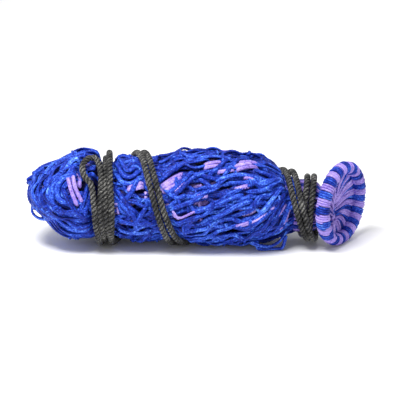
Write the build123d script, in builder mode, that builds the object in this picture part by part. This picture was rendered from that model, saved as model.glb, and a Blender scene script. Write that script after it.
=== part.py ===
"""Hay net, rolled lengthwise and tied in a bundle with its own doubled drawcord.

Frame: millimetres, +X along the roll towards the base ring, +Z up, origin on the ground under the middle.
"""
import math
import os

from build123d import *

os.makedirs("parts", exist_ok=True)

# ---------------------------------------------------------------- driving dimensions
BUNDLE_LENGTH = 374.0
ROLL_AXIS_Z = 51.0          # height of the roll's long axis
WAIST_HALF_WIDTH = 46.0     # netting where the drawcord presses it in
WAIST_HALF_HEIGHT = 43.4
CORE_HALF_WIDTH = 31.0      # the lavender inner layers of the roll
CORE_HALF_HEIGHT = 29.0
ROPE_RADIUS = 3.5           # laid drawcord, 7 mm
FIT = 0.1                   # cord turns lie on the netting with this gap

LEFT_END_X = -BUNDLE_LENGTH / 2
CORE_START_X = -158.0
END_WAIST_X = -119.0        # the end roll meets the left turns
END_SHORT_SPLIT_X = -103.0
SHORT_WAIST_X = -87.0
SHORT_TAIL_X = -63.0
SHORT_MAIN_SPLIT_X = -40.0
MAIN_WAIST_X = -12.0
SHOULDER_X = 98.0           # the main roll ends in the neck
CORE_END_X = 80.0

NECK_RADIUS = 29.3
NECK_AXIS_Z = 43.0
SWING_X = 118.0             # the base swings about a vertical axis here
SEAT_GAP = 0.4

RING_RADIUS = 40.0          # centreline of the base ring
RING_BAR_RADIUS = 3.5
HITCH_RADIUS = 7.0          # outside of the cord hitched round the ring
HITCH_COUNT = 32
HITCH_GAP_DEG = 0.2
RING_LEAN_DEG = 33.0        # how far the ring's face turns from +X towards -Y
RING_Y = -5.0
THROAT_X = 142.0
THROAT_FLOOR_X = 150.0      # inside of the funnel starts here
THROAT_RADIUS = 13.0
FUNNEL_RIM_RADIUS = 34.0
FUNNEL_RIM_BACK = 6.4       # the funnel's rim lies this far behind the ring's mid-plane
FUNNEL_WALL = 3.3

# ---------------------------------------------------------------- drawcord routes
RUN_MIDDLE = [
    (-83, 38, 10), (-77, 59, 48), (-67, 41, 91), (-57.5, 0, 103.5), (-49.5, -39, 88), (-39.5, -55, 51),
    (-27.5, -39, 14), (-14, 0, 0), (5, 42, 11), (31, 65, 39), (57, 66, 50), (78, 59, 57), (94.5, 47, 63.5),
    (101.5, 15, 80.5), (106, -28, 71),
]
RUN_SPREAD = [          # half the distance between the two runs, along X and Z
    (4.5, 0), (4.5, 0), (4.2, 0), (3.75, 0), (3.7, 0), (3.8, 0), (5.0, 0), (7.5, 0), (7.0, 0), (5.0, -3.5),
    (2.2, -4.0), (2.8, -4.2), (4.4, -3.0), (4.2, 0), (4.2, 0),
]
LOOP_ROUTE = [
    (-108.5, -11, 101), (-116, -12, 103), (-123, -20, 101), (-125, -30, 95.5), (-121, -39, 88.5),
    (-114, -41.5, 83.5),
]


def ellipse_at(x, half_width, half_height, axis_z=ROLL_AXIS_Z):
    """A cross-section of the roll, standing across X."""
    with BuildSketch(Plane.YZ.offset(x)) as section:
        with Locations((0, axis_z)):
            Ellipse(half_width, half_height)
    return section.sketch


def waist_between(x_from, x_to):
    """Add a straight stretch of the roll, as it is under the drawcord."""
    extrude(ellipse_at(x_from, WAIST_HALF_WIDTH, WAIST_HALF_HEIGHT), x_to - x_from)


def core_between(x_from, x_to, mode=Mode.ADD):
    """Add or take away the inner layers of the roll between two places along it."""
    extrude(ellipse_at(x_from, CORE_HALF_WIDTH, CORE_HALF_HEIGHT), x_to - x_from, mode=mode)


def rolled_between(stations):
    """Add netting lofted through (x, half width, half height, axis height) cross-sections."""
    loft([ellipse_at(*station) for station in stations])


def cord_path(points, name):
    """Straight runs joined by the largest tangent arcs that they allow."""
    corners = [Vector(*point) for point in points]
    radii = []
    for before, here, after in zip(corners, corners[1:], corners[2:]):
        run_in = here - before
        run_out = after - here
        half_turn = math.radians(run_in.get_angle(run_out)) / 2
        radii.append(0.45 * min(run_in.length, run_out.length) / math.tan(half_turn))
    with BuildLine() as line:
        FilletPolyline(*corners, radius=radii)
    length = line.wires()[0].length
    print(name, "length", round(length), "radii", [round(radius, 1) for radius in radii])
    return line.wires()[0], length


# ---------------------------------------------------------------- netting: three lobes of one roll
END_STATIONS = [
    (LEFT_END_X, 6, 6, 54), (-183, 20, 19, 54), (-175, 33, 32, 53.5), (-162, 41, 40, 53), (-146, 46.5, 45, 52),
    (-131, 50, 48, 51.5), (END_WAIST_X, WAIST_HALF_WIDTH, WAIST_HALF_HEIGHT, ROLL_AXIS_Z),
]
SHORT_STATIONS = [
    (SHORT_WAIST_X, WAIST_HALF_WIDTH, WAIST_HALF_HEIGHT, ROLL_AXIS_Z), (-75, 49, 46.5, ROLL_AXIS_Z),
    (SHORT_TAIL_X, WAIST_HALF_WIDTH, WAIST_HALF_HEIGHT, ROLL_AXIS_Z),
]
MAIN_STATIONS = [
    (MAIN_WAIST_X, WAIST_HALF_WIDTH, WAIST_HALF_HEIGHT, ROLL_AXIS_Z), (12, 50.5, 48, 51), (38, 54, 52, 51),
    (62, 53, 51.6, 51), (78, 48, 47.5, 50), (88, 37.5, 37.5, 46), (SHOULDER_X, 30, 30, 43.5),
]

with BuildPart() as net_end_roll:
    rolled_between(END_STATIONS)
    waist_between(END_WAIST_X, END_SHORT_SPLIT_X)
    core_between(CORE_START_X, END_SHORT_SPLIT_X, Mode.SUBTRACT)

with BuildPart() as net_short_roll:
    waist_between(END_SHORT_SPLIT_X, SHORT_WAIST_X)
    rolled_between(SHORT_STATIONS)
    waist_between(SHORT_TAIL_X, SHORT_MAIN_SPLIT_X)
    core_between(END_SHORT_SPLIT_X, SHORT_MAIN_SPLIT_X, Mode.SUBTRACT)

with BuildPart() as net_main_roll:
    waist_between(SHORT_MAIN_SPLIT_X, MAIN_WAIST_X)
    rolled_between(MAIN_STATIONS)
    core_between(SHORT_MAIN_SPLIT_X, CORE_END_X, Mode.SUBTRACT)
    split(bisect_by=Plane.XY, keep=Keep.TOP)

with BuildPart() as net_end_core:
    core_between(CORE_START_X, END_SHORT_SPLIT_X)

with BuildPart() as net_short_core:
    core_between(END_SHORT_SPLIT_X, SHORT_MAIN_SPLIT_X)

with BuildPart() as net_main_core:
    core_between(SHORT_MAIN_SPLIT_X, CORE_END_X)

# ---------------------------------------------------------------- neck: the netting gathered by the right turns
swing_centre = (SWING_X, 0, NECK_AXIS_Z)

with BuildPart() as net_neck:
    with BuildSketch(Plane.YZ.offset(SHOULDER_X)) as neck_section:
        with Locations((0, NECK_AXIS_Z)):
            Circle(NECK_RADIUS)
    extrude(amount=SWING_X - SHOULDER_X)
    with Locations(swing_centre):
        Sphere(NECK_RADIUS)
    split(bisect_by=Plane.YZ.offset(SHOULDER_X), keep=Keep.TOP)

# ---------------------------------------------------------------- drawcord: turns at both ends of the roll
LEFT_TURNS_OUTLINE = [(-102.5, 110), (-116, ROLL_AXIS_Z), (-111, -5), (-92, -5), (-88.5, ROLL_AXIS_Z), (-90, 110)]
RIGHT_TURNS_OUTLINE = [(98.6, 100), (112, -5), (129, -5), (129, 100)]

with BuildPart() as drawcord_left_wraps:
    with BuildSketch(Plane.YZ.offset(-120)) as left_turns:
        with Locations((0, ROLL_AXIS_Z)):
            Ellipse(WAIST_HALF_WIDTH + 2 * ROPE_RADIUS, WAIST_HALF_HEIGHT + 2 * ROPE_RADIUS)
            Ellipse(WAIST_HALF_WIDTH + FIT, WAIST_HALF_HEIGHT + FIT, mode=Mode.SUBTRACT)
    extrude(amount=40)
    with BuildSketch(Plane.XZ) as left_outline:
        with BuildLine():
            Polyline(*LEFT_TURNS_OUTLINE, close=True)
        make_face()
    extrude(amount=70, both=True, mode=Mode.INTERSECT)

with BuildPart() as drawcord_right_wraps:
    with BuildSketch(Plane.YZ.offset(90)) as right_turns:
        with Locations((0, NECK_AXIS_Z)):
            Circle(NECK_RADIUS + 2 * ROPE_RADIUS)
            Circle(NECK_RADIUS + FIT, mode=Mode.SUBTRACT)
    extrude(amount=50)
    with BuildSketch(Plane.XZ) as right_outline:
        with BuildLine():
            Polyline(*RIGHT_TURNS_OUTLINE, close=True)
        make_face()
    extrude(amount=60, both=True, mode=Mode.INTERSECT)

# ---------------------------------------------------------------- drawcord: the two runs between the turns
run_solids = {}
for run_name, side in (("drawcord_run_a", -1), ("drawcord_run_b", 1)):
    route = [(x + side * spread_x, y, z + side * spread_z)
             for (x, y, z), (spread_x, spread_z) in zip(RUN_MIDDLE, RUN_SPREAD)]
    path, path_length = cord_path(route, run_name)
    with BuildPart() as cord_run:
        with BuildSketch(Plane(origin=path @ 0, z_dir=path % 0)):
            Circle(ROPE_RADIUS)
        sweep(path=path)
    print(run_name, "volume over section times length",
          round(cord_run.part.volume / (math.pi * ROPE_RADIUS ** 2 * path_length), 4))
    run_solids[run_name] = cord_run.part

# ---------------------------------------------------------------- drawcord: the bight that stands out as a loop
loop_path, loop_length = cord_path(LOOP_ROUTE, "drawcord_loop")
with BuildPart() as drawcord_loop:
    with BuildSketch(Plane(origin=loop_path @ 0, z_dir=loop_path % 0)):
        Circle(ROPE_RADIUS)
    sweep(path=loop_path)
    with Locations(loop_path @ 0, loop_path @ 1):
        Sphere(ROPE_RADIUS)

# ---------------------------------------------------------------- base: ring, its hitches and the funnel of legs
lean = math.radians(RING_LEAN_DEG)
ring_facing = Vector(math.cos(lean), -math.sin(lean), 0)
ring_across = Vector(math.sin(lean), math.cos(lean), 0)
ring_reach = RING_RADIUS * math.sin(lean) + HITCH_RADIUS
ring_centre = Vector(BUNDLE_LENGTH / 2 - ring_reach, RING_Y, RING_RADIUS + HITCH_RADIUS)
ring_axis = Axis(ring_centre, ring_facing)


def ring_section_plane(angle):
    """Plane across the ring's bar at an angle round the ring, its z along the bar."""
    outward = ring_across * math.cos(angle) + Vector(0, 0, 1) * math.sin(angle)
    return Plane(origin=ring_centre + outward * RING_RADIUS, x_dir=outward, z_dir=ring_facing.cross(outward))


with BuildPart() as base_ring:
    with BuildSketch(ring_section_plane(0)):
        Circle(RING_BAR_RADIUS)
    revolve(axis=ring_axis, revolution_arc=360)

hitch_arc = 360 / HITCH_COUNT
hitches = []
for index in range(HITCH_COUNT):
    with BuildPart() as hitch:
        with BuildSketch(ring_section_plane(math.radians(index * hitch_arc))):
            Circle(HITCH_RADIUS)
            Circle(RING_BAR_RADIUS, mode=Mode.SUBTRACT)
        revolve(axis=ring_axis, revolution_arc=hitch_arc - HITCH_GAP_DEG)
    hitches.append(hitch.part)

rim_centre = ring_centre - ring_facing * FUNNEL_RIM_BACK


def funnel_between(throat_x, throat_radius, rim_radius, mode=Mode.ADD):
    """Add or take away a cone from the throat to the back of the leaning ring."""
    with BuildSketch(Plane(origin=(throat_x, 0, NECK_AXIS_Z), z_dir=(1, 0, 0))) as small_end:
        Circle(throat_radius)
    with BuildSketch(Plane(origin=rim_centre, x_dir=ring_across, z_dir=ring_facing)) as large_end:
        Circle(rim_radius)
    loft([small_end.sketch, large_end.sketch], mode=mode)


with BuildPart() as base_gather:
    funnel_between(THROAT_X, THROAT_RADIUS, FUNNEL_RIM_RADIUS)
    funnel_between(THROAT_FLOOR_X, THROAT_RADIUS - FUNNEL_WALL, FUNNEL_RIM_RADIUS - FUNNEL_WALL, Mode.SUBTRACT)
    with Locations(swing_centre):
        Sphere(NECK_RADIUS + SEAT_GAP, mode=Mode.SUBTRACT)

# ---------------------------------------------------------------- write the pieces
pieces = {
    "net_end_roll": net_end_roll.part,
    "net_short_roll": net_short_roll.part,
    "net_main_roll": net_main_roll.part,
    "net_end_core": net_end_core.part,
    "net_short_core": net_short_core.part,
    "net_main_core": net_main_core.part,
    "net_neck": net_neck.part,
    "drawcord_left_wraps": drawcord_left_wraps.part,
    "drawcord_right_wraps": drawcord_right_wraps.part,
    "drawcord_loop": drawcord_loop.part,
    "base_ring": base_ring.part,
    "base_gather": base_gather.part,
}
pieces.update(run_solids)
for index, hitch_part in enumerate(hitches):
    colour = "lavender" if index % 2 == 0 else "blue"
    pieces[f"hitch_{colour}_{index // 2 + 1:02d}"] = hitch_part

for name, piece in pieces.items():
    piece.label = name
    export_step(piece, f"parts/{name}.step")
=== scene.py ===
import math

import bpy
import numpy as np
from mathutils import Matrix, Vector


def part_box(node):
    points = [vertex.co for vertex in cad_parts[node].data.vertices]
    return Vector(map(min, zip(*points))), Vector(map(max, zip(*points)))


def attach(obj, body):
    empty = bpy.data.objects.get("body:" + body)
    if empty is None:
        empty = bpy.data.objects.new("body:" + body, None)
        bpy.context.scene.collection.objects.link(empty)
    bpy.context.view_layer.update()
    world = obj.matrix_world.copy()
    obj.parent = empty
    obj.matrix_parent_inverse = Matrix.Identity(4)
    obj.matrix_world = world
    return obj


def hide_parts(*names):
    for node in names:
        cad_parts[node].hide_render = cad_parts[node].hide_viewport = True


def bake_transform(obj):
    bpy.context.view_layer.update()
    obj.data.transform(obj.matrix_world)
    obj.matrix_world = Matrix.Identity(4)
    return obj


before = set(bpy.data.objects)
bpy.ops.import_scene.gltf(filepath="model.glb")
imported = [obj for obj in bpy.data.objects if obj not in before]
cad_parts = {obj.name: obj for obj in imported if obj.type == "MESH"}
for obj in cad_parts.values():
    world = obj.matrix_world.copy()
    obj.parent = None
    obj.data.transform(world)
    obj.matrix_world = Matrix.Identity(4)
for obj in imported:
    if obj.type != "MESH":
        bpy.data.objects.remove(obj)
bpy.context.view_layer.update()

MM = 0.001
TAU = 2 * math.pi

# ---------------------------------------------------------------- camera
VIEW_ELEVATION = math.radians(20)
VIEW_TARGET = np.array([0.0028, 0.0, 0.0492])
LENS = 200.0
VIEW_WIDTH = 0.440
VIEW_DISTANCE = VIEW_WIDTH * LENS / 36.0


def make_camera():
    """Long lens, level, looking along +Y from a little above."""
    data = bpy.data.cameras.new("camera")
    data.lens = LENS
    data.clip_start = 0.01
    camera = bpy.data.objects.new("camera", data)
    back = np.array([0.0, -math.cos(VIEW_ELEVATION), math.sin(VIEW_ELEVATION)])
    camera.location = VIEW_TARGET + back * VIEW_DISTANCE
    camera.rotation_euler = (math.pi / 2 - VIEW_ELEVATION, 0, 0)
    bpy.context.scene.collection.objects.link(camera)
    bpy.context.scene.camera = camera


make_camera()

# ---------------------------------------------------------------- the roll's shape
ROLL_AXIS_Z = 51.0
NECK_AXIS_Z = 43.0
NECK_RADIUS = 29.3
# x, half width, reach above the axis and reach below it, in millimetres
ROLL_SECTIONS = np.array([
    (-187, 6, 9, 3), (-180, 27, 28, 20), (-170, 38, 38, 31), (-157, 44, 44, 34), (-146, 47, 49, 36),
    (-131, 48, 51, 41), (-119, 46.5, 52, 43), (-104, 45, 45, 42), (-88, 45, 44, 41), (-77, 48, 46.5, 44),
    (-66, 47.5, 47.5, 45), (-51, 48, 47.5, 45), (-40, 47.5, 46.5, 43.5), (-33, 48.5, 47, 42),
    (-25, 50, 50, 43), (-16, 51, 52.5, 45.5), (2, 52, 52.5, 48), (19, 53, 52, 48.5), (37, 53, 50.5, 48.5),
    (54, 52.5, 48.5, 48.5), (63, 51.5, 46.5, 48), (72, 49.5, 44.5, 47), (81, 44, 39.5, 45),
    (90, 37.5, 33, 41.5), (98, 31, 27, 38.5), (108, 27.5, 20.5, 35), (150, 26, 18, 34),
], float)


def section_at(x):
    """Half width of the roll at x, and its reach above and below the axis."""
    return [np.interp(x, ROLL_SECTIONS[:, 0], ROLL_SECTIONS[:, column]) for column in (1, 2, 3)]


def on_roll(x, angle, height):
    """Point and outward direction at an angle round the roll: 0 faces -Y and a quarter turn is up."""
    half_width, above, below = section_at(x)
    outward = np.stack([np.zeros_like(angle), -np.cos(angle), np.sin(angle)], -1)
    y = -(half_width + height) * np.cos(angle)
    z = ROLL_AXIS_Z + (np.where(np.sin(angle) > 0, above, below) + height) * np.sin(angle)
    return np.stack([x, y, z], -1), outward


# ---------------------------------------------------------------- drawcord route, millimetres
RUN_MIDDLE = [
    (-83, 38, 10), (-77, 59, 48), (-67, 41, 91), (-57.5, 0, 103.5), (-49.5, -39, 88), (-39.5, -55, 51),
    (-27.5, -39, 14), (-14, 0, 0), (5, 42, 11), (31, 65, 39), (57, 66, 50), (78, 59, 57), (94.5, 47, 63.5),
    (101.5, 15, 80.5), (106, -28, 71),
]
RUN_SPREAD = [          # half the distance between the two runs, along X and Z
    (4.5, 0), (4.5, 0), (4.2, 0), (3.75, 0), (3.7, 0), (3.8, 0), (5.0, 0), (7.5, 0), (7.0, 0), (5.0, -3.5),
    (2.2, -4.0), (2.8, -4.2), (4.4, -3.0), (4.2, 0), (4.2, 0),
]
LOOP_ROUTE = [
    (-108.5, -11, 101), (-116, -12, 103), (-123, -20, 101), (-125, -30, 95.5), (-121, -39, 88.5),
    (-114, -41.5, 83.5),
]
COIL_STEP = 30              # degrees between a coil's points
COIL_OUT = 1 / math.cos(math.radians(COIL_STEP / 2))


def run_points(side):
    """One of the two runs between the turns, from the left turns to the right ones."""
    return [(x + side * spread_x, y, z + side * spread_z)
            for (x, y, z), (spread_x, spread_z) in zip(RUN_MIDDLE, RUN_SPREAD)]


def coil_points(keys, axis_z, flatten):
    """Turns through (angle in degrees, x, radius) keys; flatten is the section's height over its width."""
    angles, places, radii = np.array(keys, float).T
    direction = 1 if angles[-1] > angles[0] else -1
    steps = np.arange(angles[0], angles[-1] + direction, direction * COIL_STEP)
    order = np.argsort(angles)
    points = []
    for angle in steps:
        x = np.interp(angle, angles[order], places[order])
        radius = np.interp(angle, angles[order], radii[order]) * COIL_OUT
        turn = math.radians(angle)
        points.append((x, -radius * math.cos(turn), axis_z + radius * flatten * math.sin(turn)))
    return points


LEFT_RADIUS = 49.6
LEFT_OVER = 53.6            # where one turn lies on another
LEFT_UNDER = 46.4
LEFT_FLATTEN = 47.0 / 49.6
NECK_TURN = NECK_RADIUS + 2.6
OVER_TURN = NECK_RADIUS + 8.2
NECK_PAIR = 3.7             # half the distance between the doubled turns


def neck_turns(side):
    """Two turns round the neck, from the shoulder into the net: the second passes under the first."""
    middle = [
        (25, 108.5, OVER_TURN), (-10, 115, OVER_TURN), (-50, 123, OVER_TURN), (-90, 127.5, OVER_TURN - 2),
        (-180, 125.5, NECK_TURN), (-270, 124.5, NECK_TURN), (-320, 121.5, NECK_TURN),
        (-370, 118.5, NECK_TURN), (-420, 119, NECK_TURN), (-460, 118, NECK_TURN), (-520, 111, NECK_TURN),
        (-560, 112, 20),
    ]
    return [(angle, x + side * NECK_PAIR, radius) for angle, x, radius in middle]


def drawcord_route():
    """The whole cord: out of the neck, along one leg to the loop at the left, and back along the other."""
    left_a = [(255, -91, LEFT_RADIUS), (300, -94, LEFT_UNDER), (360, -99.5, LEFT_RADIUS),
              (420, -100, LEFT_UNDER), (455, -100, LEFT_UNDER), (500, -102, LEFT_UNDER),
              (540, -105, LEFT_RADIUS),
              (600, -106, LEFT_OVER - 3), (660, -106, LEFT_OVER - 3.4), (720, -111.5, LEFT_RADIUS),
              (735, -111.5, LEFT_RADIUS)]
    left_b = [(775, -103.5, LEFT_RADIUS), (720, -105.2, LEFT_RADIUS), (660, -101, LEFT_UNDER),
              (600, -100, LEFT_UNDER), (540, -98, LEFT_RADIUS), (455, -96.5, LEFT_OVER),
              (420, -95.2, LEFT_OVER), (375, -92.6, LEFT_RADIUS), (345, -92.2, LEFT_RADIUS),
              (290, -96, LEFT_OVER - 3.2), (255, -83, LEFT_RADIUS)]
    return (
        coil_points(neck_turns(-1), NECK_AXIS_Z, 1.0)[::-1]
        + run_points(-1)[::-1]
        + coil_points(left_a, ROLL_AXIS_Z, LEFT_FLATTEN)
        + LOOP_ROUTE[::-1]
        + coil_points(left_b, ROLL_AXIS_Z, LEFT_FLATTEN)
        + run_points(1)
        + coil_points(neck_turns(1), NECK_AXIS_Z, 1.0)
    )


def smooth_line(points, name):
    """Points, in metres, along the NURBS line that a route's points control."""
    curve = bpy.data.curves.new(name, "CURVE")
    curve.dimensions = "3D"
    curve.resolution_u = 10
    spline = curve.splines.new("NURBS")
    spline.points.add(len(points) - 1)
    for place, point in zip(spline.points, points):
        place.co = (point[0] * MM, point[1] * MM, point[2] * MM, 1)
    spline.order_u = 3
    spline.use_endpoint_u = True
    holder = bpy.data.objects.new(name, curve)
    bpy.context.scene.collection.objects.link(holder)
    bpy.context.view_layer.update()
    mesh = bpy.data.meshes.new_from_object(holder.evaluated_get(bpy.context.evaluated_depsgraph_get()))
    line = np.array([vertex.co for vertex in mesh.vertices], float)
    bpy.data.objects.remove(holder)
    bpy.data.curves.remove(curve)
    bpy.data.meshes.remove(mesh)
    return line


def evenly(points, step):
    """The same line with points a step apart."""
    lengths = np.concatenate([[0], np.cumsum(np.linalg.norm(np.diff(points, axis=0), axis=1))])
    count = max(4, int(round(lengths[-1] / step)) + 1)
    places = np.linspace(0, lengths[-1], count)
    return np.stack([np.interp(places, lengths, points[:, axis]) for axis in range(3)], -1), places


# ---------------------------------------------------------------- mesh code
def unit(vectors):
    """The vectors at length 1."""
    return vectors / np.maximum(np.linalg.norm(vectors, axis=-1, keepdims=True), 1e-12)


class Strands:
    """Collects tubes, in millimetres, and makes one mesh of them."""

    def __init__(self, seed):
        self.verts, self.loops, self.sizes = [], [], []
        self.along, self.round_, self.tint = [], [], []
        self.count = 0
        self.rng = np.random.default_rng(seed)

    def tube(self, points, normals, half_width, half_height, around=10, relief=0.0, pitch=3.2, closed=False,
             tint=None):
        """A flat oval tube along points, its flat side facing normals."""
        count = len(points)
        if closed:
            tangent = unit(np.roll(points, -1, 0) - np.roll(points, 1, 0))
        else:
            tangent = unit(np.gradient(points, axis=0))
        side = unit(np.cross(tangent, normals))
        up = np.cross(side, tangent)
        steps = np.linalg.norm(np.diff(points, axis=0), axis=1)
        along = np.concatenate([[0], np.cumsum(steps)]) + self.rng.uniform(0, 50)
        turn = np.arange(around) * TAU / around
        waves = np.cos(TAU * along[:, None] / pitch + 2 * np.abs(np.cos(turn))[None, :] * math.pi)
        swell = 1 + relief * waves
        half_w = np.broadcast_to(np.asarray(half_width, float), (count,))[:, None] * swell
        half_h = np.broadcast_to(np.asarray(half_height, float), (count,))[:, None] * swell
        if not closed:
            taper = np.ones(count)
            taper[0] = taper[-1] = 0.55
            half_w = half_w * taper[:, None]
            half_h = half_h * taper[:, None]
        ring = (points[:, None, :] + side[:, None, :] * (half_w * np.cos(turn))[:, :, None]
                + up[:, None, :] * (half_h * np.sin(turn))[:, :, None])
        self.verts.append(ring.reshape(-1, 3))
        index = np.arange(count * around).reshape(count, around) + self.count
        nxt = np.roll(index, -1, axis=1)
        if closed:
            below, below_next = np.roll(index, -1, axis=0), np.roll(nxt, -1, axis=0)
            quads = np.stack([index, nxt, below_next, below], -1).reshape(-1, 4)
        else:
            quads = np.stack([index[:-1], nxt[:-1], nxt[1:], index[1:]], -1).reshape(-1, 4)
        self.loops.append(quads.ravel())
        self.sizes.append(np.full(len(quads), 4))
        if not closed:
            self.loops.append(index[0][::-1])
            self.loops.append(index[-1])
            self.sizes.append(np.array([around, around]))
        self.along.append(np.repeat(along, around))
        self.round_.append(np.tile(turn / TAU, count))
        tint = self.rng.uniform(0, 1) if tint is None else tint
        self.tint.append(np.full(count * around, tint))
        self.count += count * around

    def mesh(self, name, material):
        """The collected tubes as one object."""
        verts = np.concatenate(self.verts) * MM
        loops = np.concatenate(self.loops).astype(np.int32)
        sizes = np.concatenate(self.sizes)
        starts = np.concatenate([[0], np.cumsum(sizes)[:-1]]).astype(np.int32)
        mesh = bpy.data.meshes.new(name)
        mesh.vertices.add(len(verts))
        mesh.vertices.foreach_set("co", verts.astype(np.float32).ravel())
        mesh.loops.add(len(loops))
        mesh.loops.foreach_set("vertex_index", loops)
        mesh.polygons.add(len(sizes))
        mesh.polygons.foreach_set("loop_start", starts)
        mesh.update(calc_edges=True)
        for attribute, values in (("along", self.along), ("around", self.round_), ("tint", self.tint)):
            layer = mesh.attributes.new(attribute, "FLOAT", "POINT")
            layer.data.foreach_set("value", np.concatenate(values).astype(np.float32))
        mesh.shade_smooth()
        mesh.materials.append(material)
        piece = bpy.data.objects.new(name, mesh)
        bpy.context.scene.collection.objects.link(piece)
        return piece


def waves(seed, wavelength, parts=6):
    """A smooth random function of two lengths, about -1 to 1, that repeats the same every run."""
    rng = np.random.default_rng(seed)
    heading = rng.uniform(0, TAU, parts)
    size = wavelength * rng.uniform(0.7, 1.5, parts)
    phase = rng.uniform(0, TAU, parts)

    def value(p, q):
        total = np.zeros(np.broadcast(p, q).shape)
        for angle, length, start in zip(heading, size, phase):
            total = total + np.sin(TAU * (p * math.cos(angle) + q * math.sin(angle)) / length + start)
        return total / math.sqrt(parts)

    return value


# ---------------------------------------------------------------- materials
BUMP_DEPTH = 0.0006


class Nodes:
    """Short names for building a shader."""

    def __init__(self, name):
        self.material = bpy.data.materials.new(name)
        self.material.use_nodes = True
        self.tree = self.material.node_tree
        self.shader = self.tree.nodes["Principled BSDF"]

    def node(self, kind, **inputs):
        made = self.tree.nodes.new(kind)
        for key, value in inputs.items():
            setattr(made, key, value)
        return made

    def plug(self, source, target):
        self.tree.links.new(source, target)

    def attribute(self, name):
        made = self.node("ShaderNodeAttribute", attribute_name=name)
        return made.outputs["Fac"]

    def math(self, operation, first, second=None, third=None):
        made = self.node("ShaderNodeMath", operation=operation)
        for index, value in enumerate((first, second, third)):
            if value is None:
                continue
            if isinstance(value, (int, float)):
                made.inputs[index].default_value = value
            else:
                self.plug(value, made.inputs[index])
        return made.outputs[0]

    def noise(self, scale, detail=3.0, stretch=None):
        place = self.node("ShaderNodeTexCoord").outputs["Object"]
        if stretch is not None:
            mapping = self.node("ShaderNodeMapping")
            mapping.inputs["Scale"].default_value = stretch
            self.plug(place, mapping.inputs["Vector"])
            place = mapping.outputs["Vector"]
        made = self.node("ShaderNodeTexNoise")
        made.inputs["Scale"].default_value = scale
        made.inputs["Detail"].default_value = detail
        self.plug(place, made.inputs["Vector"])
        return made.outputs["Fac"]

    def ramp(self, value, stops):
        made = self.node("ShaderNodeValToRGB")
        elements = made.color_ramp.elements
        while len(elements) < len(stops):
            elements.new(0.5)
        for element, (place, colour) in zip(elements, stops):
            element.position = place
            element.color = (*colour, 1)
        self.plug(value, made.inputs["Fac"])
        return made.outputs["Color"]

    def finish(self, colour, height, roughness, sheen, bump_depth, specular=0.5):
        self.plug(colour, self.shader.inputs["Base Color"])
        self.shader.inputs["Roughness"].default_value = roughness
        self.shader.inputs["Sheen Weight"].default_value = sheen
        self.shader.inputs["Sheen Roughness"].default_value = 0.4
        self.shader.inputs["Specular IOR Level"].default_value = specular
        bump = self.node("ShaderNodeBump")
        bump.inputs["Strength"].default_value = 0.85
        bump.inputs["Distance"].default_value = bump_depth
        self.plug(height, bump.inputs["Height"])
        self.plug(bump.outputs["Normal"], self.shader.inputs["Normal"])
        return self.material


def strand_space(nodes, along_scale, around_scale):
    """Coordinates that run along a cord and round it, different on every cord."""
    made = nodes.node("ShaderNodeCombineXYZ")
    nodes.plug(nodes.math("MULTIPLY", nodes.attribute("along"), along_scale), made.inputs["X"])
    nodes.plug(nodes.math("MULTIPLY", nodes.attribute("around"), around_scale), made.inputs["Y"])
    nodes.plug(nodes.math("MULTIPLY", nodes.attribute("tint"), 40.0), made.inputs["Z"])
    return made.outputs["Vector"]


def strand_noise(nodes, along_scale, around_scale, detail=2.0):
    made = nodes.node("ShaderNodeTexNoise")
    made.inputs["Scale"].default_value = 1.0
    made.inputs["Detail"].default_value = detail
    nodes.plug(strand_space(nodes, along_scale, around_scale), made.inputs["Vector"])
    return made.outputs["Fac"]


def outer_light_hidden_shade(nodes):
    """1 on the outer face of a cord, -1 on its hidden face; added to a tone, it paints light on the outer
    face and shade on the hidden one.
    """
    turn = nodes.math("MULTIPLY", nodes.math("SUBTRACT", nodes.attribute("around"), 0.25), TAU)
    return nodes.math("COSINE", turn)


def weighted(nodes, start, *pairs):
    """start plus each value times its weight."""
    total = start
    for value, weight in pairs:
        total = nodes.math("MULTIPLY_ADD", value, weight, total)
    return total


def braid_material(name, stops, roughness=0.45, sheen=0.02, pitch=3.4):
    """Flat braided cord: shiny yarns in chevrons, streaked along, each cord a little lighter or darker;
    painted light on each cord's outer face, painted shade on its hidden face, and light flecks that are
    partly yarn and partly painted glints.
    """
    nodes = Nodes(name)
    along = nodes.math("MULTIPLY", nodes.attribute("along"), TAU / pitch)
    around = nodes.math("MULTIPLY", nodes.attribute("around"), 2 * TAU)
    left = nodes.math("SINE", nodes.math("ADD", along, around))
    right = nodes.math("SINE", nodes.math("SUBTRACT", along, around))
    braid = nodes.math("MAXIMUM", left, right)
    streaks = strand_noise(nodes, 0.16, 9.0)
    # light specks of yarn that are partly painted glints of highlight
    yarn_specks_and_glints = strand_noise(nodes, 0.9, 14.0, 3.0)
    patches = nodes.noise(48.0, 2.0)
    # the first term paints light on each cord's outer face and shade on its hidden face
    tone = weighted(nodes, -0.86, (outer_light_hidden_shade(nodes), 0.15), (braid, 0.045), (streaks, 0.95), (yarn_specks_and_glints, 0.85),
                    (patches, 0.55), (nodes.attribute("tint"), 0.20))
    height = weighted(nodes, 0.0, (braid, 0.30), (streaks, 0.5), (yarn_specks_and_glints, 0.6))
    return nodes.finish(nodes.ramp(tone, stops), height, roughness, sheen, BUMP_DEPTH, specular=0.18)


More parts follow.
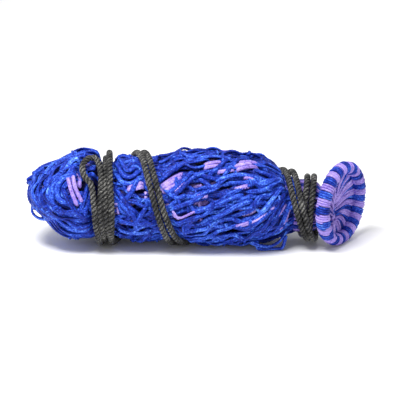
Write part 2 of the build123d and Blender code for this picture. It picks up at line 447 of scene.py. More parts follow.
def rope_material():
    """Charcoal laid rope: fibres wind round each strand; painted highlight lightens the crowns and painted
    shade darkens the grooves.
    """
    nodes = Nodes("laid_rope_black")
    along = nodes.math("MULTIPLY", nodes.attribute("along"), TAU / 5.2)
    around = nodes.math("MULTIPLY", nodes.attribute("around"), TAU)
    yarns = nodes.math("SINE", nodes.math("ADD", along, nodes.math("MULTIPLY", around, 5.0)))
    fibres = strand_noise(nodes, 0.7, 9.0, 3.0)
    patches = nodes.noise(75.0, 2.0)
    # the first term paints highlight on each strand's crown and shade in the grooves between strands
    tone = weighted(nodes, -0.62, (outer_light_hidden_shade(nodes), 0.34), (yarns, 0.05), (fibres, 1.05), (patches, 0.70),
                    (nodes.attribute("tint"), 0.08))
    # the lightest, warm stop is the painted crown highlight; the darkest stops take the painted groove shade
    colour = nodes.ramp(tone, [
        (0.10, (0.0015, 0.0015, 0.002)), (0.38, (0.011, 0.011, 0.012)), (0.60, (0.043, 0.043, 0.043)),
        (0.90, (0.27, 0.265, 0.245)),
    ])
    height = weighted(nodes, 0.0, (yarns, 0.3), (fibres, 0.9))
    return nodes.finish(colour, height, 0.62, 0.02, BUMP_DEPTH, specular=0.2)


def steel_material():
    """Drawn steel bar."""
    nodes = Nodes("drawn_steel")
    grain = nodes.noise(900.0, 4.0, (1, 1, 0.2))
    colour = nodes.ramp(grain, [(0.3, (0.32, 0.32, 0.33)), (0.7, (0.62, 0.62, 0.64))])
    material = nodes.finish(colour, grain, 0.35, 0.0, BUMP_DEPTH / 3)
    nodes.shader.inputs["Metallic"].default_value = 1.0
    return material


# the lightest stops paint highlight on the yarn; the darkest take the painted shade of the cords' hidden
# faces
BLUE = braid_material("braid_blue", [
    (0.08, (0.0005, 0.0022, 0.050)), (0.34, (0.0015, 0.0085, 0.18)), (0.56, (0.0060, 0.032, 0.39)),
    (0.76, (0.045, 0.14, 0.76)), (0.95, (0.20, 0.43, 1.0)),
])
# a darker copy of the blue: painted shade for the innermost layer of net
INNER_SHADED_BLUE = braid_material("braid_inner_shaded_blue", [
    (0.10, (0.0015, 0.002, 0.040)), (0.45, (0.005, 0.010, 0.16)), (0.72, (0.016, 0.042, 0.40)),
    (0.97, (0.07, 0.16, 0.80)),
])
# a much darker copy of the blue: painted shade for the packed cords deep in the roll
DEEP_SHADED_BLUE = braid_material("braid_deep_shaded_blue", [
    (0.2, (0.002, 0.002, 0.03)), (0.5, (0.005, 0.007, 0.10)), (0.9, (0.015, 0.03, 0.30)),
])
LAVENDER = braid_material("braid_lavender", [
    (0.05, (0.06, 0.030, 0.24)), (0.30, (0.18, 0.110, 0.46)), (0.52, (0.33, 0.235, 0.72)),
    (0.90, (0.56, 0.44, 0.95)),
])
ROPE = rope_material()
STEEL = steel_material()

# ---------------------------------------------------------------- drawcord
ROPE_LAY = 14.6             # length of one full twist
STRAND_OFFSET = 1.86
STRAND_RADIUS = 1.72
STRAND_SIDES = 9
ROPE_STEP = 1.15
drawcord_line = smooth_line(drawcord_route(), "drawcord_route")
drawcord_even, drawcord_along = evenly(drawcord_line / MM, ROPE_STEP)


def laid_rope(points, along, seed):
    """Three strands twisted together along points."""
    strands = Strands(seed)
    tangent = unit(np.gradient(points, axis=0))
    normal = np.zeros_like(points)
    normal[0] = unit(np.cross(tangent[0], [0.3, 0.2, 1.0]))
    for index in range(1, len(points)):
        carried = normal[index - 1] - tangent[index] * np.dot(normal[index - 1], tangent[index])
        normal[index] = carried / np.linalg.norm(carried)
    binormal = np.cross(tangent, normal)
    for strand in range(3):
        turn = TAU * (along / ROPE_LAY + strand / 3)
        out = normal * np.cos(turn)[:, None] + binormal * np.sin(turn)[:, None]
        strands.tube(points + out * STRAND_OFFSET, out, STRAND_RADIUS, STRAND_RADIUS, STRAND_SIDES,
                     tint=0.3 + 0.2 * strand)
    return strands


drawcord = laid_rope(drawcord_even, drawcord_along, 11).mesh("drawcord", ROPE)
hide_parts("drawcord_left_wraps", "drawcord_right_wraps", "drawcord_run_a", "drawcord_run_b",
            "drawcord_loop")
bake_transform(drawcord)

# ---------------------------------------------------------------- netting: how cords lie on the roll
FLOOR_GAP = 2.0
PRESS_FULL = 4.6            # a cord this close to the drawcord lies wholly under it
PRESS_NONE = 10.5
PRESS_DEPTH = 5.8
FLAT_REACH = 45.0           # distance from the axis at which places are compared
BLOCK = 400                 # cord points compared at a time
FAR_AWAY = 1e9


def smoothstep(value):
    """Eases from 0 to 1 as value does."""
    value = np.clip(value, 0, 1)
    return value * value * (3 - 2 * value)


rope_out = np.stack([drawcord_even[:, 1], drawcord_even[:, 2] - ROLL_AXIS_Z], -1)
rope_reach = np.linalg.norm(rope_out, axis=1)
rope_flat = np.column_stack([drawcord_even[:, 0], rope_out / rope_reach[:, None] * FLAT_REACH])


def settle(points):
    """Press netting under the drawcord and rest it on the ground."""
    out = np.stack([points[:, 1], points[:, 2] - ROLL_AXIS_Z], -1)
    reach = np.linalg.norm(out, axis=1)
    out = out / np.maximum(reach, 1e-6)[:, None]
    flat = np.column_stack([points[:, 0], out * FLAT_REACH])
    gap = np.full(len(points), FAR_AWAY)
    rope = np.full(len(points), FAR_AWAY)
    for start in range(0, len(rope_flat), BLOCK):
        block = rope_flat[start:start + BLOCK]
        block_reach = rope_reach[start:start + BLOCK]
        squared = ((flat[:, None, :] - block[None, :, :]) ** 2).sum(-1)
        nearest = squared.argmin(1)
        best = np.sqrt(squared[np.arange(len(points)), nearest])
        closer = best < gap
        gap[closer] = best[closer]
        covered = squared < PRESS_FULL ** 2 * 1.6
        near_reach = np.where(covered, block_reach[None, :], FAR_AWAY).min(1)
        other_reach = block_reach[nearest] + np.where(closer, 0, FAR_AWAY)
        rope = np.minimum(rope, np.where(near_reach < FAR_AWAY, near_reach, other_reach))
    pressed = np.minimum(reach, rope - PRESS_DEPTH)
    weight = smoothstep((PRESS_NONE - gap) / (PRESS_NONE - PRESS_FULL))
    reach = reach + (pressed - reach) * weight
    settled = points.copy()
    settled[:, 1] = out[:, 0] * reach
    settled[:, 2] = ROLL_AXIS_Z + out[:, 1] * reach
    low = settled[:, 2] < FLOOR_GAP
    settled[low, 2] = FLOOR_GAP
    return settled


def zigzag(value):
    """A cosine with straighter legs."""
    wave = np.cos(value)
    return wave * (1.22 - 0.22 * wave * wave)


class Layer:
    """One sheet of diamond mesh laid over the roll, drawn out along it."""

    def __init__(self, seed, count, mesh_length, depth, slope, rough=1.0, width=2.75, thick=1.5):
        self.seed, self.count, self.mesh_length = seed, count, mesh_length
        self.depth, self.slope, self.rough = depth, slope, rough
        self.width, self.thick = width, thick
        self.offset = 7.0 * seed
        self.shift_p = waves(seed + 1, 46)
        self.shift_q = waves(seed + 2, 52)
        self.fine_q = waves(seed + 3, 19)
        self.lift = waves(seed + 4, 30)
        self.twist = waves(seed + 5, 36)

    def knot_beats(self, p_from, p_to):
        """Numbers of the knots between two places along a cord."""
        first = math.ceil((p_from + self.offset) / self.mesh_length)
        last = math.floor((p_to + self.offset) / self.mesh_length)
        return range(first, last + 1)

    def knot_place(self, beat_index, base, spacing):
        """Where a knot lies along the cord and across it."""
        side = -1 if beat_index % 2 == 0 else 1
        return beat_index * self.mesh_length - self.offset, base + side * spacing / 2


ROLL_RADIUS = 49.0          # mean radius, turns angles into arcs
ROLL_GIRTH = TAU * ROLL_RADIUS
MESH_GAP = 1.9              # kept between a cord's bend and its neighbour's


def lay_on_roll(strands, layer, x_from, x_to, step, around, relief):
    """Adds a layer's cords and knots to the stretch of roll between two places."""
    spacing = ROLL_GIRTH / layer.count
    p = np.arange(x_from, x_to + step, step)
    pull = spacing / 2 - MESH_GAP

    def place(p, q, extra):
        x = p + layer.shift_p(p, q) * 3.0 * layer.rough
        face = q / ROLL_GIRTH * TAU
        lean = layer.slope * (0.55 + 0.45 * np.cos(face - math.radians(-15)))
        arc = q + lean * (p - 35.0) + (layer.shift_q(p, q) * 3.4 + layer.fine_q(p, q) * 1.1) * layer.rough
        height = -layer.depth + layer.lift(p, q) * 1.3 * layer.rough + extra
        return on_roll(np.clip(x, x_from - 2, x_to + 2), arc / ROLL_GIRTH * TAU, height)

    for index in range(layer.count):
        sign = 1 if index % 2 == 0 else -1
        base = index * spacing
        beat = math.pi * (p + layer.offset) / layer.mesh_length
        q = base + sign * pull * zigzag(beat)
        points, outward = place(p, q, 0.5 * np.cos(beat) ** 8)
        points = settle(points)
        tilt = layer.twist(p, np.full_like(p, base)) * 0.55
        tangent = unit(np.gradient(points, axis=0))
        side = np.cross(tangent, outward)
        normals = outward * np.cos(tilt)[:, None] + side * np.sin(tilt)[:, None]
        strands.tube(points, normals, layer.width, layer.thick, around, relief)
        if sign > 0:
            continue
        for beat_index in layer.knot_beats(x_from, x_to):
            knot_p, knot_q = layer.knot_place(beat_index, base, spacing)
            knot(strands, place, knot_p, knot_q, around, relief)


def knot(strands, place, p, q, around, relief):
    """A cord end wrapped round the two cords that meet here."""
    turn = np.linspace(0, TAU, 17)[:-1]
    across = 3.7 * np.cos(turn)
    raised = 0.7 + 2.1 * np.sin(turn)
    along = 1.6 * np.sin(turn) + 0.6 * np.cos(2 * turn)
    points, _ = place(p + along, q + across, raised)
    points = settle(points)
    centre = points.mean(0)
    strands.tube(points, unit(points - centre), 1.9, 1.15, max(8, around - 2), relief, closed=True)


# ---------------------------------------------------------------- netting: the dome at the left end
DOME_CENTRE = np.array([-129.0, 0.0, 52.5])
DOME_REACH = np.array([57.0, 49.5, 48.0])   # left, across, and towards the pole
POLE_RISE = math.radians(34)
POLE = np.array([0.0, -math.cos(POLE_RISE), math.sin(POLE_RISE)])
DOME_UP = np.array([0.0, math.sin(POLE_RISE), math.cos(POLE_RISE)])
DOME_LEFT = np.array([-1.0, 0.0, 0.0])
DOME_SCALE = 47.0           # mean radius, turns angles into arcs
DOME_CORDS_TO = -101.0
DOME_KNOTS_TO = -121.0
DOME_HALF_TURN = math.radians(118)


def on_dome(swing, tilt, height):
    """swing goes round the dome's pole, 0 at the left; tilt goes from the pole to the far side."""
    ring = np.sin(tilt)
    direction = ((ring * np.cos(swing))[:, None] * DOME_LEFT + (ring * np.sin(swing))[:, None] * DOME_UP
                 + np.cos(tilt)[:, None] * POLE)
    reach = 1 / np.sqrt((ring * np.cos(swing) / DOME_REACH[0]) ** 2
                        + (ring * np.sin(swing) / DOME_REACH[1]) ** 2
                        + (np.cos(tilt) / DOME_REACH[2]) ** 2)
    offset = direction * (reach + height)[:, None]
    left = smoothstep((-offset[:, 0] - 4) / 46)
    crest = smoothstep(offset[:, 0] / 20 + 0.6)
    offset[:, 2] *= np.where(offset[:, 2] < 0, 0.89 - 0.17 * left, 1 + 0.06 * crest - 0.30 * left)
    offset[:, 2] += 9.0 * left * left
    return DOME_CENTRE + offset, direction


def lay_on_dome(strands, layer, step, around, relief, tilt_from=0.16, tilt_to=math.pi - 0.35):
    """Adds a layer's cords as nested arcs from the top of the left turns round to their underside."""
    spacing = (tilt_to - tilt_from) * DOME_SCALE / layer.count
    pull = spacing / 2 - MESH_GAP
    for index in range(layer.count):
        sign = 1 if index % 2 == 0 else -1
        base = tilt_from * DOME_SCALE + (index + 0.5) * spacing
        girth = DOME_SCALE * max(math.sin(base / DOME_SCALE), 0.35)
        reach = DOME_HALF_TURN * girth
        p = np.arange(-reach, reach + step, step)
        beat = math.pi * (p + layer.offset) / layer.mesh_length

        def place(p, q, extra):
            swing = (p + layer.shift_p(p, q) * 2.5) / girth
            arc = q + (layer.shift_q(p, q) * 3.0 + layer.fine_q(p, q) * 1.0) * layer.rough
            height = -layer.depth + layer.lift(p, q) * 1.5 * layer.rough + extra
            return on_dome(swing, arc / DOME_SCALE, height)

        points, outward = place(p, base + sign * pull * zigzag(beat), 0.5 * np.cos(beat) ** 8)
        keep = points[:, 0] < DOME_CORDS_TO
        if keep.sum() < 6:
            continue
        points, outward = points[keep], outward[keep]
        points = settle(points)
        tilt = layer.twist(p[keep], np.full(keep.sum(), base)) * 0.55
        tangent = unit(np.gradient(points, axis=0))
        side = np.cross(tangent, outward)
        normals = outward * np.cos(tilt)[:, None] + side * np.sin(tilt)[:, None]
        strands.tube(points, normals, layer.width, layer.thick, around, relief)
        if sign > 0:
            continue
        for beat_index in layer.knot_beats(p[0], p[-1]):
            knot_p, knot_q = layer.knot_place(beat_index, base, spacing)
            if place(np.array([knot_p]), np.array([knot_q]), 0.0)[0][0, 0] < DOME_KNOTS_TO:
                knot(strands, place, knot_p, knot_q, around, relief)


# ---------------------------------------------------------------- netting: pieces
STEP, AROUND, RELIEF = ((1.05, 10, 0.10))
MAIN_LAYERS = [
    Layer(3, 30, 38, 0.4, 0.40, 1.3), Layer(8, 30, 43, 2.6, 0.18, 1.2), Layer(14, 32, 31, 4.8, -0.15),
]
SHORT_LAYERS = [
    Layer(21, 28, 24, 0.4, 0.20, 1.6), Layer(27, 30, 21, 2.6, -0.30, 1.5), Layer(33, 30, 26, 4.8, 0.3),
]
DOME_LAYERS = [
    Layer(41, 18, 44, 0.6, 0, 1.5, 3.1), Layer(47, 19, 37, 3.0, 0, 1.5, 3.1), Layer(53, 20, 36, 5.4, 0),
]
LEFT_X = -100.0
SPLIT_X = -41.0             # between the short roll and the main roll
RIGHT_X = 112.0


def netting(name, nodes, strands, material):
    """Makes one piece of the roll and the nodes it stands for."""
    piece = strands.mesh(name, material)
    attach(piece, "bundle")
    if nodes:
        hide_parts(*nodes)


depth_names = ("outer", "middle", "inner")
# the inner layer takes the darker blue as painted shade of depth
DEPTH_SHADE_COLOURS = {"outer": BLUE, "middle": BLUE, "inner": INNER_SHADED_BLUE}
for depth_name, layer in zip(depth_names, MAIN_LAYERS):
    strands = Strands(layer.seed)
    lay_on_roll(strands, layer, SPLIT_X, RIGHT_X, STEP, AROUND, RELIEF)
    netting(f"net_main_{depth_name}", ["net_main_roll", "net_neck"], strands,
            DEPTH_SHADE_COLOURS[depth_name])
for depth_name, layer in zip(depth_names, SHORT_LAYERS):
    strands = Strands(layer.seed)
    lay_on_roll(strands, layer, LEFT_X, SPLIT_X + 2, STEP, AROUND, RELIEF)
    netting(f"net_short_{depth_name}", ["net_short_roll"], strands, DEPTH_SHADE_COLOURS[depth_name])
for depth_name, layer in zip(depth_names, DOME_LAYERS):
    strands = Strands(layer.seed)
    lay_on_dome(strands, layer, STEP, AROUND, RELIEF)
    netting(f"net_end_{depth_name}", ["net_end_roll"], strands, DEPTH_SHADE_COLOURS[depth_name])

# lavender layers under the blue ones
strands = Strands(61)
lay_on_roll(strands, Layer(62, 30, 29, 7.6, 0.25), LEFT_X, RIGHT_X, STEP, AROUND, RELIEF)
netting("net_lavender_roll", ["net_main_core", "net_short_core"], strands, LAVENDER)
strands = Strands(71)
lay_on_dome(strands, Layer(72, 18, 26, 7.8, 0), STEP, AROUND, RELIEF, 0.1)
netting("net_lavender_end", ["net_end_core"], strands, LAVENDER)


def facing_angle(x, seen):
    """Angle round the roll of the surface point that shows at a height above the ground line."""
    half_width, above, below = section_at(np.asarray(x, float))
    reach = np.where(np.asarray(seen) > ROLL_AXIS_Z + 17, (half_width + above) / 2, (half_width + below) / 2)
    lift = np.clip((np.asarray(seen, float) - ROLL_AXIS_Z) / reach, -0.97, 0.97)
    return VIEW_ELEVATION + np.arcsin(lift)


def lay_feature(strands, route, height=1.0, width=2.6, thick=1.45, dip=3.4):
    """A cord on the surface through (x, height seen from the camera) places; its ends dip under."""
    places = np.array(route, float)
    angles = facing_angle(places[:, 0], places[:, 1])
    guide = np.column_stack([places[:, 0], angles * ROLL_RADIUS, np.zeros(len(places))])
    line = smooth_line(guide, "feature_route") / MM
    line, along = evenly(line, STEP)
    part = along / along[-1]
    sink = dip * smoothstep(1 - 7 * part) + dip * smoothstep(1 - 7 * (1 - part))
    points, outward = on_roll(line[:, 0], line[:, 1] / ROLL_RADIUS, height - sink)
    strands.tube(settle(points), outward, width, thick, AROUND, RELIEF)


# lavender cords that come to the surface
LAVENDER_SHOWING = [
    [(-76, 63), (-66, 65), (-58, 69), (-48, 72)], [(-76, 60), (-66, 61), (-58, 64)],
    [(-44, 60), (-34, 64), (-26, 70), (-15, 73)], [(-42, 63), (-32, 68), (-25, 73), (-14, 77)],
    [(-38, 58), (-28, 62), (-20, 66), (-12, 68)],
    [(-25, 57), (-19, 63), (-13, 68)],
    [(0, 52), (6, 54), (11, 54)], [(-96, 43), (-90, 45), (-85, 46)],
    [(7, 86), (16, 90), (27, 90)], [(7, 83), (16, 86), (27, 86)], [(22, 80), (30, 80), (40, 83)],
    [(37, 85), (48, 89), (60, 90)], [(41, 82), (52, 86), (66, 87)], [(44, 90), (56, 93), (66, 90)],
    [(50, 75), (56, 75), (61, 72)],
    [(92, 22), (96, 30), (99, 40), (104, 44)], [(88, 18), (93, 24), (98, 29)], [(84, 30), (90, 36), (95, 46)],
    [(40, 61), (48, 64), (56, 66)],
]
LAVENDER_THIN = [
    [(-28, 35), (-20, 30), (-10, 35), (0, 39)], [(-27, 39), (-23, 34), (-20, 29)],
    [(44, 21), (56, 25), (68, 31), (78, 38), (86, 45)], [(40, 22), (48, 24), (56, 27)],
]
LAVENDER_WINDOW = [
    [(-140, 73), (-139, 67), (-136, 56), (-129, 43)],
    [(-134.5, 75), (-134, 67), (-130.5, 56), (-123, 45)],
    [(-133, 77), (-128, 73), (-127, 66), (-127, 60)],
]
strands = Strands(81)
for route in LAVENDER_SHOWING:
    lay_feature(strands, route, 1.3)
for route in LAVENDER_THIN:
    lay_feature(strands, route, 1.6, 1.4, 1.1)
for route in LAVENDER_WINDOW:
    lay_feature(strands, route, 4.0, 2.2, 1.6, 5.5)
# x, angle round the roll, length, slope and number of cords of each patch at the back
BACK_SHOWING = [
    (30, 120, 24, 10, 2), (48, 160, 28, 20, 3), (5, 200, 26, 15, 2), (-70, 190, 18, 0, 2),
    (-66, 110, 16, -10, 2), (68, 200, 24, -15, 3), (80, 150, 18, 12, 2), (-20, 150, 20, 25, 2),
    (-25, 230, 22, -10, 2),
]
for x, degrees, length, slope_degrees, cords in BACK_SHOWING:
    for cord_index in range(cords):
        offset = (cord_index - (cords - 1) / 2) * 4.3
        lean = math.radians(slope_degrees + 5 * cord_index)
        run = np.arange(-length / 2, length / 2 + STEP, STEP)
        cord_x = x + run * math.cos(lean) - offset * math.sin(lean)
        arc = math.radians(degrees) * ROLL_RADIUS + run * math.sin(lean) + offset * math.cos(lean)
        points, outward = on_roll(cord_x, arc / ROLL_RADIUS, 1.2 - 3.6 * (2 * run / length) ** 2)
        strands.tube(settle(points), outward, 2.6, 1.4, AROUND, RELIEF)
netting("net_lavender_showing", [], strands, LAVENDER)

# blue cords that lie over the rest
BLUE_SHOWING = [
    [(-121, 50), (-114, 38), (-108, 22), (-103, 11)], [(-120, 47), (-110, 38), (-102, 22), (-97, 9)],
    [(-131, 86), (-121, 78), (-112, 74), (-104, 76)], [(-127, 36), (-121, 52), (-118, 66), (-114, 78)],
    [(-123, 32), (-117, 50), (-113, 62)], [(-146, 60), (-138, 46), (-130, 36), (-120, 30)],
    [(-91, 64), (-83, 55), (-74, 42), (-64, 35)], [(-92, 58), (-84, 50), (-76, 38), (-66, 32)],
    [(-79, 44), (-70, 36), (-66, 26), (-67, 14)], [(-55, 42), (-62, 34), (-66, 24)],
    [(-89, 92), (-84, 76), (-72, 72), (-62, 80), (-58, 92)], [(-85, 94), (-80, 82), (-72, 79), (-65, 86)],
    [(-91, 86), (-86, 70), (-74, 65), (-60, 72), (-54, 84)],
    [(-33, 55), (-22, 62), (-12, 72), (-4, 80)], [(-30, 51), (-19, 58), (-9, 68), (0, 76)],
    [(-36, 62), (-28, 54), (-20, 50), (-12, 54)],
    [(2, 40), (18, 42), (34, 52), (50, 56)], [(14, 30), (30, 36), (44, 46), (60, 50)],
    [(46, 18), (60, 22), (72, 32), (84, 42)], [(62, 12), (72, 20), (80, 32), (90, 50), (96, 62)],
    [(72, 14), (82, 24), (88, 38), (96, 52)], [(80, 12), (90, 22), (96, 34), (102, 48)],
    [(66, 34), (76, 44), (86, 58), (94, 68)], [(54, 60), (68, 60), (80, 66), (92, 72)],
    [(56, 74), (66, 66), (80, 70), (90, 74)], [(20, 70), (36, 76), (54, 78), (70, 74)],
    [(12, 76), (22, 83), (33, 93), (38, 99)], [(28, 76), (38, 84), (46, 96)],
    [(-2, 92), (10, 95), (26, 96), (40, 92)],
    [(-24, 82), (-12, 88), (2, 90), (12, 94)], [(-30, 40), (-16, 44), (0, 50), (14, 60)],
    [(-38, 26), (-24, 24), (-10, 30), (6, 34)], [(-34, 16), (-20, 14), (-4, 18), (14, 20)],
    [(-90, 30), (-78, 26), (-64, 24), (-52, 26)], [(-92, 20), (-80, 16), (-66, 14), (-50, 16)],
]
strands = Strands(87)
for route in BLUE_SHOWING:
    lay_feature(strands, route, 2.0)
netting("net_blue_showing", [], strands, BLUE)


def view_point(x, height, depth=0.0):
    """A point by where the camera sees it: x, height above the ground line, distance behind the middle."""
    rise = height - ROLL_AXIS_Z
    cosine, sine = math.cos(VIEW_ELEVATION), math.sin(VIEW_ELEVATION)
    return (x, rise * sine + depth * cosine, ROLL_AXIS_Z + rise * cosine - depth * sine)


def slack(strands, points, width=2.3, thick=1.4):
    """A cord of the net that has come away from the roll."""
    line = smooth_line(points, "slack_route") / MM
    line, _ = evenly(line, STEP)
    axis = np.array([0.0, 0.0, ROLL_AXIS_Z])
    outward = unit((line - axis) * np.array([0.35, 1, 1]))
    strands.tube(line, outward, width, thick, AROUND, RELIEF)


strands = Strands(91)
slack(strands, [view_point(-166, 54, -16), view_point(-175, 50, -12), view_point(-181, 44, -10),
                view_point(-181.5, 36, -10), view_point(-176, 30, -12), view_point(-168, 28, -18),
                view_point(-158, 29, -24)], 2.1, 1.5)
slack(strands, [view_point(-174, 66, -8), view_point(-182, 68, -6), view_point(-187, 70.5, -5),
                view_point(-184, 74, -6), view_point(-174, 78, -10)], 2.6, 1.8)
slack(strands, [view_point(-176, 60, -10), view_point(-183, 66, -6), view_point(-185, 70, -4),
                view_point(-180, 77, -6), view_point(-168, 84, -12)], 2.6, 1.8)
slack(strands, [view_point(-187.5, 69, -3), view_point(-184.5, 67, -1), view_point(-182.5, 70, 1),
                view_point(-184.5, 73.5, -1), view_point(-187.5, 71.5, -3)], 2.0, 1.6)
slack(strands, [(64, -34, 14), (66, -32, 5), (70, -30, 2.6), (78, -28, 2.4), (88, -27, 2.4), (93, -28, 3.0),
                (95, -28, 9), (97, -27, 18)], 2.9, 1.7)
slack(strands, [(58, -38, 14), (68, -34, 8), (80, -31, 6), (92, -28, 12), (98, -24, 22)], 2.7, 1.6)
# cords lifted off the outline: from x, to x, angle round the roll and rise
LIFTED = [
    (4, 30, 106, 3.4), (-28, -2, 110, 3.0), (26, 50, 98, 2.6), (58, 80, 104, 3.0),
    (-90, -76, 106, 2.5), (10, 34, -58, 2.0), (-4, 20, -70, 2.0), (36, 60, -62, 2.0),
]
for x_from, x_to, degrees, rise in LIFTED:
    x = np.linspace(x_from, x_to, 12)
    sway = np.linspace(-0.06, 0.08, 12)
    points, _ = on_roll(x, math.radians(degrees) + sway, rise * np.sin(np.linspace(-0.5, math.pi + 0.5, 12)))
    slack(strands, points, 2.4, 1.5)
netting("net_slack_loops", [], strands, BLUE)


# ---------------------------------------------------------------- packed cords deep inside, seen through gaps, in painted shade
BED_ROUNDING = 14.0         # length over which a bed closes at its ends


def core_shell(name, x_from, x_to, inset):
    """Bed of packed cords that closes the roll behind the layers, in a darkened blue that paints their shade.
    """
    rings, around = 60, 72
    strands = Strands(5)
    x = np.linspace(x_from, x_to, rings)
    lumps = waves(97, 16)
    angle = np.arange(around) * TAU / around
    points = []
    for place in x:
        to_end = max(0.0, min(place - x_from, x_to - place))
        closing = max(min(1.0, math.sqrt(to_end / BED_ROUNDING)), 0.02)
        along_x = np.full(around, place)
        surface, _ = on_roll(along_x, angle, -inset + lumps(along_x, angle * 40) * 0.8)
        axis = np.array([place, 0, ROLL_AXIS_Z])
        points.append(axis + (surface - axis) * closing)
    ring = np.array(points)
    flat = settle(ring.reshape(-1, 3)).reshape(rings, around, 3)
    strands.verts.append(flat.reshape(-1, 3))
    index = np.arange(rings * around).reshape(rings, around)
    nxt = np.roll(index, -1, axis=1)
    quads = np.stack([index[:-1], index[1:], nxt[1:], nxt[:-1]], -1).reshape(-1, 4)
    strands.loops += [quads.ravel(), index[0], index[-1][::-1]]
    strands.sizes += [np.full(len(quads), 4), np.array([around, around])]
    strands.along.append(np.repeat(x, around))
    strands.round_.append(np.tile(angle * 10 / TAU, rings))
    strands.tint.append(np.full(rings * around, 0.2))
    netting(name, [], strands, DEEP_SHADED_BLUE)


core_shell("net_bed_end", -182.0, LEFT_X, 10.5)
core_shell("net_bed_roll", -106.0, 128.0, 10.0)

# ---------------------------------------------------------------- base ring, hitches and legs
RING_RADIUS = 40.0
HITCH_COUNT = 32
HITCH_TURNS = 3
HITCH_CORD = 1.6
RING_LEAN = math.radians(33)
FACING = np.array([math.cos(RING_LEAN), -math.sin(RING_LEAN), 0.0])
ACROSS = np.array([math.sin(RING_LEAN), math.cos(RING_LEAN), 0.0])
UP = np.array([0.0, 0.0, 1.0])
ring_low, ring_high = (np.array(corner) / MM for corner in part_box("base_ring"))
RING_CENTRE = (ring_low + ring_high) / 2


def ring_frame(angle):
    """Centre of the bar, its outward direction and its own direction, at an angle round the ring."""
    outward = ACROSS * math.cos(angle) + UP * math.sin(angle)
    return RING_CENTRE + outward * RING_RADIUS, outward, np.cross(FACING, outward)


CORDS = {"blue": BLUE, "lavender": LAVENDER}
HITCH_ARC = TAU / HITCH_COUNT
# centre of the lashing cord from the bar's centre: outward, and along the ring's face direction
HITCH_REACH = np.array([5.2, 6.4])
TURN_POINTS = 34
hitch_rng = np.random.default_rng(7)


def ring_colour(index):
    """Hitches and the legs under them take turns."""
    return "lavender" if index % 2 == 0 else "blue"


def hitch(index):
    """One leg's cord lashed round the bar."""
    colour = ring_colour(index)
    node = f"hitch_{colour}_{index // 2 + 1:02d}"
    strands = Strands(200 + index)
    lift = hitch_rng.uniform(-0.15, 0.35)
    points, normals = [], []
    for turn in np.linspace(-0.06, HITCH_TURNS + 0.06, TURN_POINTS * HITCH_TURNS):
        angle = (index + 0.5) * HITCH_ARC + HITCH_ARC * 0.90 * (turn / HITCH_TURNS - 0.5)
        centre, outward, _ = ring_frame(angle)
        spin = TAU * turn + index * 0.4
        out, over = HITCH_REACH + lift + 0.3 * math.sin(turn * 2.1 + index)
        points.append(centre + outward * math.cos(spin) * out + FACING * (math.sin(spin) * over - 0.6))
        normals.append(outward * math.cos(spin) + FACING * math.sin(spin))
    strands.tube(np.array(points), np.array(normals), 1.36, HITCH_CORD, 8, RELIEF * 0.5, 2.4)
    piece = strands.mesh(f"{node}_cord", CORDS[colour])
    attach(piece, "base")
    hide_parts(node)


for index in range(HITCH_COUNT):
    hitch(index)

ring_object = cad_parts["base_ring"]
ring_object.data.materials.clear()
ring_object.data.materials.append(STEEL)

LEGS_PER_HITCH = 3
LEG_PITCH = 2.2             # distance between the legs of one hitch
LEG_WIDTH = {"blue": 1.5, "lavender": 1.75}
LEG_RISE = {"blue": 0.2, "lavender": 1.2}
BACKING_COUNT = 32
THROAT_COUNT = 26
THROAT_REACH = 12.0
THROAT = np.array([149.0, -3.0, 35.0])
LEG_HUB = np.array([165.0, -5.0, 52.0])     # legs turn their flat sides towards it
THROAT_HUB = np.array([175.0, 0.0, NECK_AXIS_Z])
LEG_SIDES = max(8, AROUND - 2)
leg_strands = {"blue": Strands(301), "lavender": Strands(302)}
leg_rng = np.random.default_rng(17)


def leg_cord(colour, route, hub, width, thick):
    """A cord of the base along a route, its flat side towards hub."""
    line, _ = evenly(smooth_line(route, "leg_route") / MM, STEP)
    leg_strands[colour].tube(line, unit(hub - line), width, thick, LEG_SIDES, RELIEF)


def neck_point(x, outward=0.0, across=0.0):
    """A point off the neck's axis."""
    return np.array([x, across, NECK_AXIS_Z]) + outward


def net_leg(index):
    """A leg from its hitch, down the funnel, through the throat and under the turns round the neck."""
    colour = ring_colour(index // LEGS_PER_HITCH)
    angle = (index // LEGS_PER_HITCH + 0.5) * HITCH_ARC
    centre, outward, heading = ring_frame(angle)
    centre = centre + heading * LEG_PITCH * (index % LEGS_PER_HITCH - 1)
    wobble = leg_rng.uniform(-1, 1, 8)
    spread = np.array([0.0, math.cos(angle + 0.12 * wobble[6]), math.sin(angle + 0.12 * wobble[6])])
    raised = 1.0 * wobble[2] + LEG_RISE[colour]
    leg_cord(colour, [
        centre + outward * 2.5 - FACING * 5.5,
        centre - outward * 3.5 - FACING * 4.6,
        centre - outward * 9.0 - FACING * (5.5 - raised) + UP * 0.6 * wobble[0],
        centre - outward * 18.0 - FACING * (9.0 - raised + 0.8 * wobble[1]) + UP * wobble[7],
        THROAT + spread * (11.5 + 1.5 * wobble[3]) + FACING * raised,
        THROAT - np.array([8.0, 0, -3.0]) + spread * (12.5 + 1.5 * wobble[4]),
        neck_point(135.0, spread * 21.5, -1.0),
        neck_point(128.5, spread * (NECK_RADIUS - 2.6 + 0.8 * wobble[5])),
        neck_point(118.0, spread * (NECK_RADIUS - 1.6 + 0.5 * wobble[4])),
        neck_point(105.0, spread * (NECK_RADIUS - 1.8)),
    ], LEG_HUB, LEG_WIDTH[colour], 1.3)


def backing(index):
    """A wide cord behind the legs, so that no gap between them shows through."""
    angle = index * TAU / BACKING_COUNT
    centre, outward, _ = ring_frame(angle)
    spread = np.array([0.0, math.cos(angle), math.sin(angle)])
    leg_cord("blue", [
        centre - outward * 1.0 - FACING * 6.5,
        centre - outward * 9.0 - FACING * 9.0,
        centre - outward * 18.0 - FACING * 12.0,
        THROAT + spread * 12.5 - FACING * 4.0,
        neck_point(134.0, spread * 16.0),
    ], LEG_HUB, 3.4, 0.9)


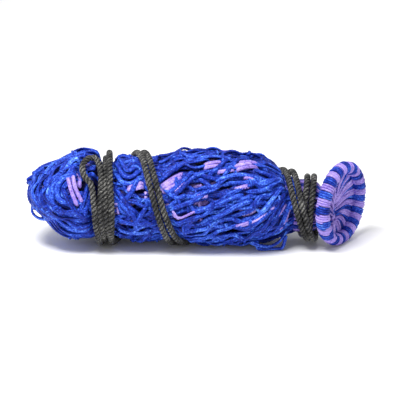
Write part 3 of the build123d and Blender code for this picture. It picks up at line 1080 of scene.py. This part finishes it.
def throat_cord(index):
    """One of the bent cords that fill the throat, spread like the seeds of a sunflower."""
    reach = THROAT_REACH * math.sqrt((index + 0.5) / THROAT_COUNT)
    spin = index * 2.4
    inside = np.array([0.0, reach * math.cos(spin), reach * math.sin(spin)])
    bend = leg_rng.uniform(-2.5, 2.5, 6)
    leg_cord("lavender" if index % 5 == 0 else "blue", [
        neck_point(121.0, inside * 1.3),
        np.array([132.0, bend[0], NECK_AXIS_Z - 3 + bend[1]]) + inside,
        THROAT + inside * 0.9 + np.array([-3.0, bend[2], bend[3]]),
        THROAT + inside * 0.4 + np.array([2.0 + bend[5], bend[4], -bend[2]]),
        THROAT - inside * 0.3 + np.array([-6.0, bend[2], bend[4]]),
    ], THROAT_HUB, 2.2, 1.5)


for index in range(HITCH_COUNT * LEGS_PER_HITCH):
    net_leg(index)
for index in range(BACKING_COUNT):
    backing(index)
for index in range(THROAT_COUNT):
    throat_cord(index)
for colour, strands in leg_strands.items():
    piece = strands.mesh(f"base_legs_{colour}", CORDS[colour])
    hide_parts("base_gather")
    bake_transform(piece)

# ---------------------------------------------------------------- floor and light
FLOOR_SIZE = 6.0


def make_floor():
    """Plain pale floor."""
    mesh = bpy.data.meshes.new("floor")
    half = FLOOR_SIZE / 2
    corners = [(-half, -half, 0), (half, -half, 0), (half, half, 0), (-half, half, 0)]
    mesh.from_pydata(corners, [], [(0, 1, 2, 3)])
    nodes = Nodes("pale_floor")
    colour = nodes.ramp(nodes.noise(40.0), [(0.3, (0.93, 0.93, 0.93)), (0.7, (0.95, 0.95, 0.95))])
    nodes.plug(colour, nodes.shader.inputs["Base Color"])
    nodes.shader.inputs["Roughness"].default_value = 0.9
    nodes.shader.inputs["Specular IOR Level"].default_value = 0.1
    mesh.materials.append(nodes.material)
    floor = bpy.data.objects.new("floor", mesh)
    bpy.context.scene.collection.objects.link(floor)


def area_light(name, place, aim, size, power):
    """A round soft light at place, aimed at a point."""
    data = bpy.data.lights.new(name, "AREA")
    data.shape = "DISK"
    data.size = size
    data.energy = power
    light = bpy.data.objects.new(name, data)
    light.location = place
    heading = np.array(aim, float) - np.array(place, float)
    length = np.linalg.norm(heading)
    light.rotation_euler = (math.acos(-heading[2] / length), 0, math.atan2(heading[0], -heading[1]))
    bpy.context.scene.collection.objects.link(light)


make_floor()
area_light("key", (-0.30, -0.40, 1.1), (0, 0, 0.04), 0.7, 26.0)
area_light("back", (0.3, 0.8, 1.0), (0, 0, 0.05), 0.6, 8.0)
world = bpy.data.worlds.new("studio")
world.use_nodes = True
world.node_tree.nodes["Background"].inputs["Color"].default_value = (1, 1, 1, 1)
world.node_tree.nodes["Background"].inputs["Strength"].default_value = 0.62
bpy.context.scene.world = world
bpy.context.scene.view_settings.view_transform = "Standard"
